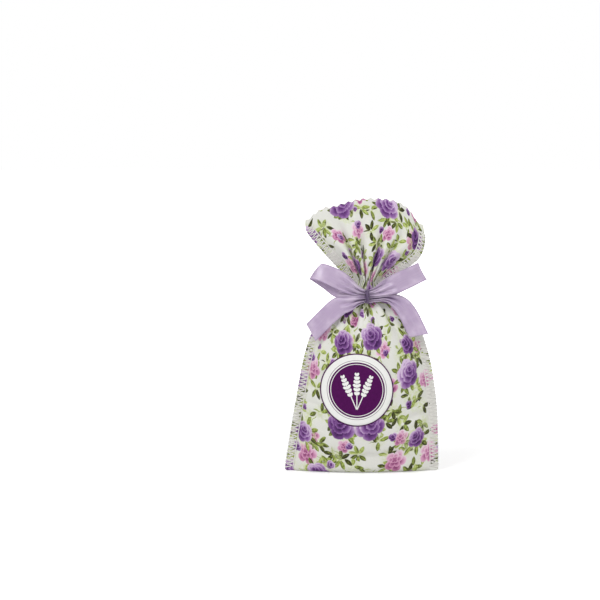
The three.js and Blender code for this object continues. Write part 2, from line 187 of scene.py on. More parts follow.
def apply_modifier(piece, modifier):
    bpy.context.view_layer.objects.active = piece
    bpy.ops.object.modifier_apply(modifier=modifier.name)


def flat_piece(name, points, width, length):
    """A flat grid laid out as it is cut, then moved to its points, with the cut kept as its UV map."""
    rows, columns = points.shape[:2]
    deselect()
    bpy.ops.mesh.primitive_grid_add(x_subdivisions=columns - 1, y_subdivisions=rows - 1, size=1)
    piece = bpy.context.object
    piece.name = name
    piece.data.name = name
    cut = piece.data.uv_layers[0]
    cut.name = "flat_cut"
    shares = np.empty(len(piece.data.loops) * 2)
    cut.data.foreach_get("uv", shares)
    shares = shares.reshape(-1, 2) * (width * MM, length * MM)
    cut.data.foreach_set("uv", shares.ravel())
    piece.data.vertices.foreach_set("co", (points * MM).ravel())
    piece.data.update()
    bpy.ops.object.shade_smooth()
    return piece


def turn_faces(piece, towards):
    """Turns every face over if the one a quarter of the way through them looks away from a direction."""
    face = piece.data.polygons[len(piece.data.polygons) // 4]
    if face.normal.dot(Vector(towards)) < 0:
        with edit_mode(piece):
            bpy.ops.mesh.flip_normals()


def thicken(piece, thickness, offset, inner_material=0):
    solidify = piece.modifiers.new("thickness", "SOLIDIFY")
    solidify.thickness = thickness * MM
    solidify.offset = offset
    solidify.material_offset = inner_material
    apply_modifier(piece, solidify)


def rigid(piece, cad_node, body):
    """Hides the solid that a rigid piece stands for, and puts the piece on the body that it rides on."""
    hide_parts(cad_node)
    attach(piece, body)


# Outline of the pouch by height: half its width, half its depth, and where its middle sways to
half_width = through([
    (0, 42.5), (BELLY_HEIGHT, 38.25), (SHOULDER_HEIGHT, 31.5), (84, 23.6), (90, 17.4),
    (92.6, 13.4), (94.8, 6.7), (97.5, 6.5), (NECK_TOP, 7.8)])
half_depth = through([
    (0, 10), (BELLY_HEIGHT, 14.5), (SHOULDER_HEIGHT, 13.2), (84, 11.2), (90, 9.2),
    (92.6, 7.8), (94.8, 6.3), (97.5, 6.2), (NECK_TOP, 7.2)])
sway = through([(0, 0), (BELLY_HEIGHT, 2.5), (NECK_FOOT, NECK_MIDDLE)])


def drawn_in(height, radius):
    """How far a round edge at the base has drawn in at a height."""
    short = np.clip(radius - height, 0, radius)
    return radius - math.sqrt(radius * radius - short * short)


# Folds that the tie gathers into the cloth: depths of long ones, and of short ones between them
LONG_FOLDS = 5
SHORT_FOLDS = 9
pouch_fold = through([(50, 0), (62, 0.5), (74, 1.6), (84, 3.0), (90, 3.2), (95, 2.0), (100, 1.4)])
pouch_pucker = through([(68, 0), (78, 0.7), (86, 1.5), (92, 1.5), (100, 0.9)])

# Ruff by distance from the knot: how far its panels swell, and their least depth
ruff_bulge = through([(8, 3.4), (14, 5.8), (22, 6.8), (32, 6.2), (42, 4.2), (54, 2.0)])
ruff_floor = through([(8, 3.6), (14, 1.6), (25, 0.6), (40, 0.5), (54, 0.4)])

# Creases of the ruff: place across it, width, depth, and how far from the tie they run out
FRONT_CREASES = [
    (-0.86, 0.08, 0.7, 36), (-0.57, 0.11, 1.05, 60), (-0.36, 0.05, 0.6, 28), (-0.13, 0.1, 1.05, 54),
    (0.08, 0.05, 0.6, 26), (0.29, 0.11, 1.05, 62), (0.46, 0.05, 0.6, 28), (0.63, 0.1, 1.0, 52),
    (0.86, 0.07, 0.7, 34),
]
BACK_CREASES = [
    (-0.82, 0.08, 0.8, 40), (-0.6, 0.05, 0.6, 26), (-0.4, 0.11, 1.05, 58), (-0.18, 0.05, 0.6, 28),
    (0.02, 0.11, 1.05, 60), (0.24, 0.05, 0.6, 28), (0.46, 0.11, 1.0, 54), (0.66, 0.05, 0.6, 26),
    (0.83, 0.08, 0.8, 38),
]
CREASE_ROUNDING = 0.012


def creased(spread, radius, creases):
    """Share of the swell that creases take, 0 on the ridges; they open and fade away from the tie."""
    total = 0
    for place, width, depth, run in creases:
        open_width = width * (0.55 + 0.75 * step(radius, 12, run))
        wander = place + 0.02 * np.sin(radius * 0.21 + 9 * place)
        near = np.exp(-np.sqrt((spread - wander) ** 2 + CREASE_ROUNDING ** 2) / open_width)
        total = total + depth * near * (1 - step(radius, run * 0.55, run))
    return np.clip(total, 0, 1.1)


def folds(spread, count, shift):
    """Rounded ridges at 1 with sharp valleys at 0 between them, not quite even."""
    uneven = spread + 0.05 * np.sin(4.3 * spread + shift) + 0.025 * np.sin(11.7 * spread + 2 * shift)
    phase = np.abs(np.sin(math.pi * (uneven + 1) / 2 * count + shift))
    return phase ** 0.75


# Ruff: a fan about the knot, with the reach of its edge and the angles of its two sides
ruff_edge = through([
    (-1, 53.6), (-0.8, 54.2), (-0.55, 52.6), (-0.1, 53.6),
    (0.15, 54.0), (0.45, 54.6), (0.72, 53.8), (1, 49.8)])
left_side = through([(8, 47), (20, 46), (41, 44), (48, 43), (51.5, 41), (55, 37.5)])
right_side = through([(8, 52), (20, 55), (33, 55), (38, 52.5), (44, 46.5), (47.5, 41.5), (50, 38)])


def ruff_turn(spread, radius):
    angle = np.where(spread < 0, left_side(radius), right_side(radius))
    return np.radians(angle) * spread


def crown_window(spread, power):
    """1 across the middle of a panel, and 0 at its seams."""
    return np.clip(1 - np.abs(spread) ** power, 0, 1)


# Places across a panel, from its left seam to its right one
DENSE = np.linspace(-1, 1, 601)


def pouch_line(height, side, drop=1.0):
    """Line across one panel of the pouch at a height: seam edge, crown, seam edge."""
    middle = float(sway(height))
    corner = drawn_in(height, BASE_CORNER_RADIUS)
    edge = float(half_width(height)) - corner
    near_neck = step(height, SHOULDER_HEIGHT, NECK_FOOT)
    seam = SEAM_ALLOWANCE + (NECK_SEAM - SEAM_ALLOWANCE) * near_neck
    depth = float(half_depth(height)) - drawn_in(height, BASE_EDGE_RADIUS)
    fullness = BELLY_FULLNESS + (NECK_FULLNESS - BELLY_FULLNESS) * near_neck
    round_part = np.cos(DENSE * math.pi / 2) ** fullness
    shift = 0.4 if side < 0 else 1.5
    crease = float(pouch_fold(height)) * (1 - folds(DENSE, LONG_FOLDS, shift))
    crease = crease + float(pouch_pucker(height)) * (1 - folds(DENSE, SHORT_FOLDS, shift + 1))
    window = crown_window(DENSE, 4)
    x = (edge - seam) * np.sin(DENSE * math.pi / 2)
    y = SEAM_LIE + depth * round_part
    radius = np.maximum(np.hypot(x, y), 1e-6)
    keep = 1 - np.minimum(crease * window / radius, 0.6)
    crown = np.column_stack([middle + x * keep, side * y * keep * drop, np.full_like(x, height)])
    return with_flanges(crown, middle - edge, middle + edge, height, height, side)


def with_flanges(crown, left, right, left_height, right_height, side):
    """The crown between two flat seam allowances, with fixed numbers of points on each."""
    lie = side * SEAM_LIE
    left_edge = np.array([left, lie, left_height])
    right_edge = np.array([right, lie, right_height])
    crown[0, 1] = lie
    crown[-1, 1] = lie
    share = np.linspace(0, 1, FLANGE_COLUMNS + 1)[:, None]
    marks = np.linspace(0, 1, CROWN_COLUMNS + 1)
    middle = resampled(crown, marks)
    first = left_edge + (middle[0] - left_edge) * share
    last = middle[-1] + (right_edge - middle[-1]) * share
    return np.vstack([first[:-1], middle, last[1:]])


def ruff_line(share, side):
    """Line across one panel of the ruff at a share of the way from the tie to its edge."""
    radius = RUFF_START + share * (ruff_edge(DENSE) - RUFF_START)
    seam_left = min(SEAM_ALLOWANCE, RUFF_SEAM_SHARE * radius[0])
    seam_right = min(SEAM_ALLOWANCE, RUFF_SEAM_SHARE * radius[-1])
    left_inset = 1 - seam_left / (radius[0] * math.radians(float(left_side(radius[0]))))
    right_inset = 1 - seam_right / (radius[-1] * math.radians(float(right_side(radius[-1]))))
    spread = np.where(DENSE < 0, DENSE * left_inset, DENSE * right_inset)
    creases = FRONT_CREASES if side < 0 else BACK_CREASES
    uneven = 0.88 + 0.16 * np.sin(5.1 * DENSE + 1.6 * side)
    height = ruff_floor(radius) + ruff_bulge(radius) * uneven * (1 - creased(DENSE, radius, creases))
    round_part = np.cos(DENSE * math.pi / 2)
    window = round_part + (crown_window(DENSE, 5) - round_part) * step(share, 0, 0.3)
    turn = ruff_turn(spread, radius)
    x = NECK_MIDDLE + radius * np.sin(turn)
    z = NECK_HEIGHT + radius * np.cos(turn)
    crown = np.column_stack([x, side * (SEAM_LIE + np.maximum(height, 0) * window), z])
    ends = []
    for spread_end, length in ((-1.0, radius[0]), (1.0, radius[-1])):
        angle = float(ruff_turn(np.array(spread_end), np.array(length)))
        ends.append((NECK_MIDDLE + length * math.sin(angle), NECK_HEIGHT + length * math.cos(angle)))
    return with_flanges(crown, ends[0][0], ends[1][0], ends[0][1], ends[1][1], side)


def panel_points(side):
    """Points of one panel from the bottom fold to its top edge, evenly spaced along each column."""
    base = [pouch_line(0.0, side, drop) for drop in np.linspace(0, 0.9, 8)]
    low = np.concatenate([np.linspace(0, 4, 12), np.linspace(5, 66, 50)])
    high = np.concatenate([np.linspace(67, 89.6, 32), np.linspace(90, NECK_TOP, 44)])
    pouch = [pouch_line(float(height), side) for height in np.concatenate([low, high])]
    ruff = [ruff_line(float(share), side) for share in np.linspace(0, 1, 70)]
    stations = np.stack(base + pouch + ruff)
    marks = np.linspace(0, 1, PANEL_ROWS + 1)
    columns = [resampled(stations[:, k], marks) for k in range(stations.shape[1])]
    return np.stack(columns, axis=1)


def cut_grid(shape, start=-PANEL_LENGTH):
    """Places of points on the flat cut: from the bottom fold, from the left edge and from a seam."""
    rows, columns = shape
    along = np.abs(np.linspace(start, PANEL_LENGTH, rows))[:, None]
    across = np.linspace(0, CLOTH_WIDTH, columns)[None]
    from_seam = np.minimum(across, CLOTH_WIDTH - across) - SEAM_ALLOWANCE
    return along, across, from_seam


def wrinkled(points, side):
    """Slack waves, seam puckers and the pinked edge on one panel."""
    along, across, from_seam = cut_grid(points.shape[:2], 0)
    body = step(along, 9, 18) * (1 - step(along, 84, 104))
    inside = step(from_seam, 0, 6)
    seed = 3 if side < 0 else 8
    slack = 0.55 * ripples(across, along, 26, seed + 1) * body * inside
    pull = np.exp(-np.clip(from_seam, 0, 40) / 6.5) * step(from_seam, -1, 2)
    pucker = 0.45 * pull * ripples(across * 0.25, along, 7.5, seed + 2) * step(along, 6, 14)
    pucker = pucker * (1 - step(along, 80, 96))
    flange = 0.4 * ripples(across * 0.1, along, 15, 21) * (1 - step(from_seam, -SEAM_ALLOWANCE, 0))
    flange = flange * step(along, 3, 12) * (1 - step(along, 78, 92))
    bend = 0.5 * ripples(across, along, 19, seed + 5) * step(along, 122, 150) * inside
    lean = 1.2 * np.sin(across * 0.085 + 0.5) * step(along, 112, PANEL_LENGTH) * step(from_seam, 0, 14)
    points[:, :, 1] += side * (slack + pucker + bend) + flange + lean
    tooth = np.abs((across / CLOTH_WIDTH * PINKING_TEETH * 2 + 1) % 2 - 1)
    cut = PINKING_DEPTH * tooth * step(along, PANEL_LENGTH - 6, PANEL_LENGTH)
    towards = unit(points[-1] - points[-8])
    points -= cut[:, :, None] * towards[None]
    return points


def bag_points():
    """Points of the whole strip, from the back panel's top edge over the fold to the front panel's."""
    back = wrinkled(panel_points(1), 1)
    front = wrinkled(panel_points(-1), -1)
    fold = (back[:1] + front[:1]) / 2
    return np.concatenate([back[:0:-1], fold, front[1:]])


# Swelling of the pouch, worked out at ten times its size because the solver is made for larger things
SWELL_SCALE = 10.0
SWELL_FRAMES = 20
SWELL_LIMIT = 1.8
FABRIC = {
    "quality": 5, "mass": 0.002, "tension_stiffness": 12, "compression_stiffness": 12, "shear_stiffness": 4,
    "bending_stiffness": 3, "shrink_min": -0.022, "use_pressure": True, "uniform_pressure_force": 3,
    "vertex_group_mass": "held",
}


def points_of(piece):
    points = np.empty(len(piece.data.vertices) * 3)
    piece.data.vertices.foreach_get("co", points)
    return points.reshape(-1, 3)


def hold_cloth(bag, free):
    """A group that holds the cloth where it isn't free to swell."""
    hold = np.round(1 - free, 2).ravel()
    group = bag.vertex_groups.new(name="held")
    for share in np.unique(hold[hold > 0]):
        group.add(np.nonzero(hold == share)[0].tolist(), float(share), "REPLACE")


def press_from_inside(bag):
    """Cloth with a little slack under the pressure of the buds, stepped until it wrinkles, then applied."""
    fabric = bag.modifiers.new("fabric", "CLOTH")
    for setting, value in FABRIC.items():
        setattr(fabric.settings, setting, value)
    fabric.settings.effector_weights.gravity = 0
    fabric.collision_settings.use_collision = False
    fabric.point_cache.frame_end = SWELL_FRAMES
    for frame in range(1, SWELL_FRAMES + 1):
        bpy.context.scene.frame_set(frame)
    apply_modifier(bag, fabric)
    bpy.context.scene.frame_set(1)


def swell_pouch(bag, shape):
    """Swells the pouch between its seams, base and tie, up to a limit, and less where the tie gathers it."""
    along, _, from_seam = cut_grid(shape)
    free = step(from_seam, 0, 3) * step(along, 6, 24) * (1 - step(along, 94, 102))
    hold_cloth(bag, free)
    before = points_of(bag)
    bag.data.vertices.foreach_set("co", (before * SWELL_SCALE).ravel())
    press_from_inside(bag)
    bag.vertex_groups.clear()
    move = (points_of(bag) / SWELL_SCALE - before) / MM
    reach = np.maximum(np.linalg.norm(move, axis=1), 1e-6)
    share = step(along, 8, 26) * (1 - step(along, 52, 100)) * np.ones_like(from_seam)
    limited = share.ravel() * SWELL_LIMIT * np.tanh(reach / SWELL_LIMIT) / reach
    bag.data.vertices.foreach_set("co", (before + move * limited[:, None] * MM).ravel())


def press_lumps(bag, shape):
    """Lumps of buds felt through both panels, and cloth that lies smooth under the stiff label."""
    along, across, from_seam = cut_grid(shape)
    points = points_of(bag).reshape(*shape, 3) / MM
    side = np.linspace(1, -1, shape[0])[:, None]
    body = step(along, 12, 22) * (1 - step(along, 70, 92)) * step(from_seam, 1, 7)
    lumps = ripples(across, side * along, 3.6, 3) + ripples(across, side * along, 5.8, 8)
    points[:, :, 1] += np.sign(side) * 0.07 * lumps * body
    smooth = points[:, :, 1].copy()
    for _ in range(90):
        inner = smooth[2:, 1:-1] + smooth[:-2, 1:-1] + smooth[1:-1, 2:] + smooth[1:-1, :-2]
        smooth[1:-1, 1:-1] = inner / 4
    from_label = np.hypot(points[:, :, 0] - LABEL_MIDDLE[0], points[:, :, 2] - LABEL_MIDDLE[1])
    pressed = (1 - step(from_label, LABEL_RADIUS - 2, LABEL_RADIUS + 4)) * (side < 0)
    points[:, :, 1] += (smooth - points[:, :, 1]) * pressed
    bag.data.vertices.foreach_set("co", (points * MM).ravel())
    bag.data.update()


# Satin strips
def smooth_route(stops, steps):
    """Rows of numbers along a smooth curve through stops, spaced by the length of the first three."""
    stops = np.array(stops, float)
    reach = reach_along(stops[:, :3])
    shares = reach / reach[-1]
    dense = np.linspace(0, 1, 400)
    rows = np.column_stack([through(list(zip(shares, column)))(dense) for column in stops.T])
    marks = reach_along(rows[:, :3])
    even = np.linspace(0, marks[-1], steps + 1)
    return rows_at(even, marks, rows), marks[-1]


def laid_on(points, depth_at, gap):
    """Points brought forward until they clear what lies behind them by a gap, smoothly along the strip."""
    need = np.zeros(points.shape[:2])
    for i, row in enumerate(points):
        for j, point in enumerate(row):
            need[i, j] = max(point[1] - depth_at(point[0], point[2], 50.0) + gap, 0)
    for _ in range(4):
        spread = np.pad(need, 2, mode="edge")
        parts = [spread[a:a + need.shape[0], b:b + need.shape[1]] for a in range(5) for b in range(5)]
        need = np.maximum(need, np.mean(parts, axis=0))
    points[:, :, 1] -= need
    return points


def satin_strip(name, stops, steps, pleats, shift, cut, curl, under):
    """Ribbon along stops of centre, width direction and width; where it is narrow its width is in pleats."""
    route, length = smooth_route(stops, steps)
    centre = route[:, :3]
    across = unit(route[:, 3:6])
    width = route[:, 6]
    ahead = unit(np.gradient(centre, axis=0))
    facing = unit(np.cross(ahead, across))
    share = np.linspace(-1, 1, RIBBON_COLUMNS + 1)
    spare = PLEAT_SHARE * np.sqrt(np.maximum(RIBBON_WIDTH ** 2 - width ** 2, 0)) / (2 * pleats)
    wave = np.sin(math.pi * pleats * (share + 0.16 * np.sin(2.6 * share + shift)) + shift)
    wave = wave * (1 - 0.3 * np.cos(2.1 * share + shift))
    points = centre[:, None] + across[:, None] * (share[None, :, None] * width[:, None, None] / 2)
    points = points + facing[:, None] * (spare[:, None, None] * wave[None, :, None])
    points = points + facing[:, None] * (curl * (share ** 2 - 0.4))[None, :, None]
    run = step(np.linspace(0, 1, steps + 1), 0.72, 1)
    points = points + ahead[:, None] * (run[:, None] * share[None] * cut / 2)[:, :, None]
    points = laid_on(points, under, 2 * RIBBON_THICKNESS)
    strip = flat_piece(name, points, RIBBON_WIDTH, length)
    # Amount of painted shade for the satin: in the valleys of the pleats, more where the ribbon is gathered
    # narrow
    valley_shade = np.clip(facing[:, 1:2] * wave[None], 0, 1) * (1 - width / RIBBON_WIDTH)[:, None]
    pleat_shade = strip.data.attributes.new("pleat_shade", "FLOAT", "POINT")
    pleat_shade.data.foreach_set("value", valley_shade.ravel())
    return strip, length


# Shader wiring
def srgb(red, green, blue):
    def linear(value):
        value /= 255
        return value / 12.92 if value <= 0.04045 else ((value + 0.055) / 1.055) ** 2.4
    return linear(red), linear(green), linear(blue), 1.0


class Wire:
    """A shader socket that can be used in arithmetic like a number."""

    def __init__(self, socket):
        self.socket = socket
        self.tree = socket.id_data

    def math(self, operation, *others, clamp=False):
        inputs = dict(enumerate((self, *others)))
        return Wire(new_node(self.tree, "Math", inputs, operation=operation, use_clamp=clamp).outputs[0])

    def __add__(self, other):
        return self.math("ADD", other)

    def __sub__(self, other):
        return self.math("SUBTRACT", other)

    def __mul__(self, other):
        return self.math("MULTIPLY", other)

    def __truediv__(self, other):
        return self.math("DIVIDE", other)

    def size(self):
        return self.math("ABSOLUTE")

    def above(self, low, high):
        """0 up to low and 1 past high, with a smooth step between them."""
        inputs = dict(enumerate((self, low, high)))
        return Wire(new_node(self.tree, "MapRange", inputs, interpolation_type="SMOOTHSTEP").outputs[0])


def join(slot, value):
    """Links a wire to a socket, or sets a plain value on it."""
    if isinstance(value, Wire):
        value.tree.links.new(value.socket, slot)
    else:
        slot.default_value = value


def new_node(tree, kind, inputs, **settings):
    """A shader node with its settings, and with wires or plain values on its sockets."""
    node = tree.nodes.new("ShaderNode" + kind)
    for setting, value in settings.items():
        setattr(node, setting, value)
    for socket, value in inputs.items():
        join(node.inputs[socket], value)
    return node


def mixed(share, below, over, blend="MIX"):
    """Colour between two; the share, or else the colour below, is a wire."""
    tree = (share if isinstance(share, Wire) else below).tree
    inputs = {0: share, 6: below, 7: over}
    return Wire(new_node(tree, "Mix", inputs, data_type="RGBA", blend_type=blend).outputs[2])


def parts_of(vector):
    return [Wire(out) for out in new_node(vector.tree, "SeparateXYZ", {0: vector}).outputs]


def vector_math(operation, first, second):
    return Wire(new_node(first.tree, "VectorMath", {0: first, 1: second}, operation=operation).outputs[0])


def in_millimetres(vector):
    return vector_math("MULTIPLY", vector, (1000, 1000, 1000))


def cut_place(tree):
    """Place on the flat cut, in millimetres."""
    return in_millimetres(Wire(new_node(tree, "UVMap", {}, uv_map="flat_cut").outputs[0]))


def object_place(tree):
    return in_millimetres(Wire(new_node(tree, "TexCoord", {}).outputs["Object"]))


def noise(place, size, detail=2.0, dimensions="2D", output=0):
    inputs = {"Scale": 1 / size, "Detail": detail, "Vector": place}
    return Wire(new_node(place.tree, "TexNoise", inputs, noise_dimensions=dimensions).outputs[output])


def ramped(level, colours):
    node = new_node(level.tree, "ValToRGB", {0: level})
    stops = node.color_ramp.elements
    while len(stops) < len(colours):
        stops.new(0.5)
    for i, (stop, colour) in enumerate(zip(stops, colours)):
        stop.position = i / (len(colours) - 1)
        stop.color = colour
    return Wire(node.outputs[0])


def new_finish(name, levels):
    """A surface finish with levels set on its shader: the finish, its node tree and its shader."""
    finish = bpy.data.materials.new(name)
    finish.use_nodes = True
    tree = finish.node_tree
    shader = tree.nodes["Principled BSDF"]
    for socket, level in levels.items():
        join(shader.inputs[socket], level)
    return finish, tree, shader


def relief(shader, height, distance):
    """Bump from a height of 0 to 1 that stands for a distance in millimetres."""
    bump = new_node(height.tree, "Bump", {"Distance": distance * MM, "Height": height})
    join(shader.inputs["Normal"], Wire(bump.outputs[0]))


# Flower print on the cotton
ROSE = [srgb(66, 26, 84), srgb(118, 69, 139), srgb(168, 128, 183), srgb(222, 198, 228)]
BLOSSOM = [srgb(150, 78, 124), srgb(206, 136, 176), srgb(230, 180, 208), srgb(242, 218, 230)]
LEAF = [srgb(54, 54, 26), srgb(96, 104, 44), srgb(158, 176, 84), srgb(206, 216, 140)]
STEM = srgb(168, 182, 104)
HAZE = srgb(210, 220, 158)
GROUND = [srgb(238, 237, 231), srgb(228, 229, 221)]
REVERSE = srgb(236, 234, 230)
FADE = 0.78


def scattered(place, spacing, randomness, offset):
    """Offset from the nearest of many scattered points, and three random numbers for that point."""
    shifted = vector_math("ADD", place, offset)
    inputs = {"Scale": 1 / spacing, "Randomness": randomness, "Vector": shifted}
    node = new_node(place.tree, "TexVoronoi", inputs, voronoi_dimensions="2D")
    local = vector_math("SUBTRACT", shifted, Wire(node.outputs["Position"]))
    across, along, _ = parts_of(local)
    return across, along, parts_of(Wire(node.outputs["Color"]))


def polar(across, along, turn):
    radius = (across * across + along * along).math("SQRT")
    angle = along.math("ARCTAN2", across) + turn
    return radius, angle


def flower(spot, size, petals, lobing, wash, colours, below):
    """A flower of petal rings, each higher than the one round it, painted over what is below it."""
    across, along, luck = spot
    scale = (luck[1] * 0.5 + 0.72) * size
    level = None
    outer = None
    for ring, (rim, count) in enumerate(petals):
        over = across - (luck[2] - 0.5) * (0.28 * ring * size)
        up = along - 0.09 * ring * size
        radius, angle = polar(over, up, luck[0] * FULL_TURN)
        reach = radius / scale
        lobe = ((angle + ring * 0.9) * (count / 2)).math("SINE").size().math("POWER", 0.6)
        edge = lobe * (lobing * rim) + rim * (1 - lobing) + (wash - 0.5) * 0.14
        depth = ((edge - reach) / (rim * 0.5)).math("MULTIPLY", 1.0, clamp=True)
        shade = depth.math("POWER", 0.85) * -0.84 + 0.96
        inside = (edge - reach).above(0.0, 0.06)
        if level is None:
            level, outer = shade, inside
        else:
            level = level + (shade - level) * inside
    lit = (across * (luck[0] * 2.0 - 1.0) + along) / size * 0.34
    level = level + lit + (wash - 0.5) * 0.6 + (luck[2] - 0.5) * 0.3
    return mixed(outer, below, ramped(level, colours))


def sprig(spot, leaflets, start, length, width, fill, wash, below):
    """Leaflets round a point, some of them left out, on a soft pale green haze."""
    across, along, luck = spot
    radius, angle = polar(across, along, luck[0] * FULL_TURN)
    haze = radius.above(start + length * 0.95, start) * wash.above(0.3, 0.6) * 0.7
    below = mixed(haze, below, HAZE)
    turn = angle * (leaflets / FULL_TURN)
    slot = turn.math("FLOOR")
    off = (turn - slot - 0.5) * (FULL_TURN / leaflets)
    seed = Wire(new_node(slot.tree, "CombineXYZ", {0: slot, 1: luck[1]}).outputs[0])
    pick = new_node(slot.tree, "TexWhiteNoise", {"Vector": seed}, noise_dimensions="2D")
    chance = Wire(pick.outputs[0])
    out = radius * off.math("COSINE")
    side = radius * off.math("SINE")
    reach = (out - start) / (chance * 0.35 + 0.75) / length
    half = (reach * (reach * -1.0 + 1.0)).math("MAXIMUM", 0.0).math("POWER", 0.75) * (2.4 * width)
    room = half - side.size() + (wash - 0.5) * 0.35
    inside = room.above(0.0, 0.2) * reach.above(0.0, 0.06) * (chance + fill).above(0.99, 1.0)
    rib = side.size().above(0.2, 0.06)
    tone = (chance * 7.0).math("FRACT")
    level = tone * 0.9 - 0.1 + (wash - 0.5) * 1.0 + rib * 0.25 + side / width * 0.2
    return mixed(inside, below, ramped(level, LEAF))


def stems(place, below):
    """Thin stems that wander between the flowers and fade in and out."""
    bend_size = 9
    spacing = 15
    warp = noise(place, bend_size, output="Color")
    bent = vector_math("ADD", place, vector_math("MULTIPLY", warp, (bend_size, bend_size, 0)))
    inputs = {"Scale": 1 / spacing, "Vector": bent}
    node = new_node(place.tree, "TexVoronoi", inputs, voronoi_dimensions="2D", feature="DISTANCE_TO_EDGE")
    line = (Wire(node.outputs[0]) * spacing).above(0.42, 0.2)
    shown = noise(place, 11).above(0.5, 0.56)
    return mixed(line * shown, below, STEM)


def rose_print(place):
    """Roses over rosebuds, blossoms and sprigs of leaves, on a pale ground with thin stems."""
    wash = noise(place, 1.5, 4)
    cloth = mixed(noise(place, 30), GROUND[0], GROUND[1])
    cloth = stems(place, cloth)
    for spacing, offset in ((14, (0, 0, 0)), (13, (57, 31, 0))):
        leaves = scattered(place, spacing, 0.8, offset)
        cloth = sprig(leaves, 7, 0.5, 5.4, 1.45, 0.47, wash, cloth)
    blossoms = scattered(place, 23, 0.6, (41, 23, 0))
    cloth = flower(blossoms, 5.4, [(1, 5), (0.66, 5), (0.36, 4)], 0.36, wash, BLOSSOM, cloth)
    rosebuds = scattered(place, 17, 0.75, (19, 91, 0))
    cloth = flower(rosebuds, 2.5, [(1, 3), (0.55, 2)], 0.3, wash, ROSE, cloth)
    roses = scattered(place, 25, 0.6, (7, 67, 0))
    cloth = sprig(roses, 8, 4.4, 6.0, 1.5, 0.6, wash, cloth)
    petals = [(1, 5), (0.72, 4), (0.46, 3), (0.24, 2)]
    return flower(roses, 7.4, petals, 0.2, wash, ROSE, cloth)


THREAD_PITCH = 0.8


def plain_weave(place):
    """Height of a plain weave, with threads that vary in thickness."""
    across, along, _ = parts_of(place)
    uneven = (noise(place, 5, 1) - 0.5) * 0.5
    weft = ((along + uneven) * (FULL_TURN / THREAD_PITCH)).math("SINE")
    warp = ((across + uneven) * (FULL_TURN / THREAD_PITCH)).math("SINE")
    return (weft * warp) * 0.25 + (weft + warp) * 0.125 + 0.5


def cotton_finish(name, fade):
    """Woven cotton with the print, which the cloth's reverse shows only faintly."""
    levels = {"Roughness": 0.86, "Specular IOR Level": 0.25, "Sheen Weight": 0.15}
    finish, tree, shader = new_finish(name, levels)
    place = cut_place(tree)
    weave = plain_weave(place)
    colour = rose_print(place)
    if fade:
        colour = mixed(fade, colour, REVERSE)
    shade = mixed(weave, srgb(236, 236, 236), srgb(255, 255, 255))
    join(shader.inputs["Base Color"], mixed(1.0, colour, shade, "MULTIPLY"))
    fuzz = noise(place, 0.5)
    relief(shader, weave * 0.8 + fuzz * 0.2, 0.16)
    return finish


def satin_finish():
    """Ribbed lilac satin with woven edges, with painted shade round the knot and in the valleys of its
    pleats.
    """
    finish, tree, shader = new_finish("lilac_satin", {
        "Subsurface Weight": 0.35, "Subsurface Radius": (0.9, 0.8, 1.0), "Subsurface Scale": 0.8 * MM,
        "Specular IOR Level": 0.75, "Sheen Weight": 0.25, "Anisotropic": 0.5})
    rib_pitch = 0.33
    place = cut_place(tree)
    across, along, _ = parts_of(place)
    from_edge = (across - RIBBON_WIDTH / 2).size() * -1.0 + RIBBON_WIDTH / 2
    selvedge = from_edge.above(0.75, 0.55)
    ridge = (along * (FULL_TURN / rib_pitch)).math("SINE") * 0.5 + 0.5
    stretched = vector_math("MULTIPLY", place, (3.0, 0.12, 1.0))
    streak = noise(stretched, 1.0, 3)
    cloud = noise(place, 9, 2).above(0.3, 0.7)
    colour = mixed(streak * 0.4 + cloud * 0.6, srgb(171, 150, 181), srgb(212, 197, 217))
    over, behind, up = parts_of(vector_math("SUBTRACT", object_place(tree), tuple(KNOT)))
    # Painted shade round the knot: the satin is mixed towards dark purple the nearer it is to the knot
    knot_shade = ((over * over + behind * behind) * 0.5 + up * up).math("SQRT").above(5.5, 1.0)
    colour = mixed(knot_shade * (streak * 0.4 + 0.45), colour, srgb(86, 56, 104))
    # Painted shade in the middle of the knot, darker still
    knot_core_shade = over.size().above(1.7, 0.9) * up.size().above(6.0, 4.0) * behind.above(4.0, 2.0)
    colour = mixed(knot_core_shade * 0.8, colour, srgb(68, 36, 90))
    # Painted shade in the valleys of the pleats, from the amount stored on each strip
    pleat_shade = new_node(tree, "Attribute", {}, attribute_name="pleat_shade")
    valley_shade = Wire(pleat_shade.outputs["Fac"]).above(0.05, 0.5)
    colour = mixed(valley_shade * 0.85, colour, srgb(70, 34, 94))
    colour = mixed(selvedge * 0.5, colour, srgb(160, 138, 172))
    join(shader.inputs["Base Color"], colour)
    join(shader.inputs["Roughness"], streak * 0.08 + 0.27 + selvedge * 0.15)
    relief(shader, ridge * (selvedge * 0.7 + 0.3) * 0.6 + streak * 0.15, 0.05)
    return finish


def thread_finish():
    finish, tree, shader = new_finish("white_overlock_thread", {"Roughness": 0.7, "Sheen Weight": 0.2})
    place = object_place(tree)
    twist = noise(place, 0.35, 2, "3D")
    colour = mixed(twist, srgb(206, 203, 198), srgb(246, 244, 240))
    join(shader.inputs["Base Color"], colour)
    relief(shader, twist, 0.08)
    return finish


def buds_finish():
    finish, tree, shader = new_finish("dried_lavender_buds", {"Roughness": 0.9})
    place = object_place(tree)
    patch = noise(place, 2.4, 3, "3D")
    colours = [srgb(52, 50, 66), srgb(96, 96, 132), srgb(132, 134, 168), srgb(148, 142, 120)]
    join(shader.inputs["Base Color"], ramped(patch.above(0.25, 0.75), colours))
    relief(shader, noise(place, 0.4, 2, "3D"), 0.15)
    return finish


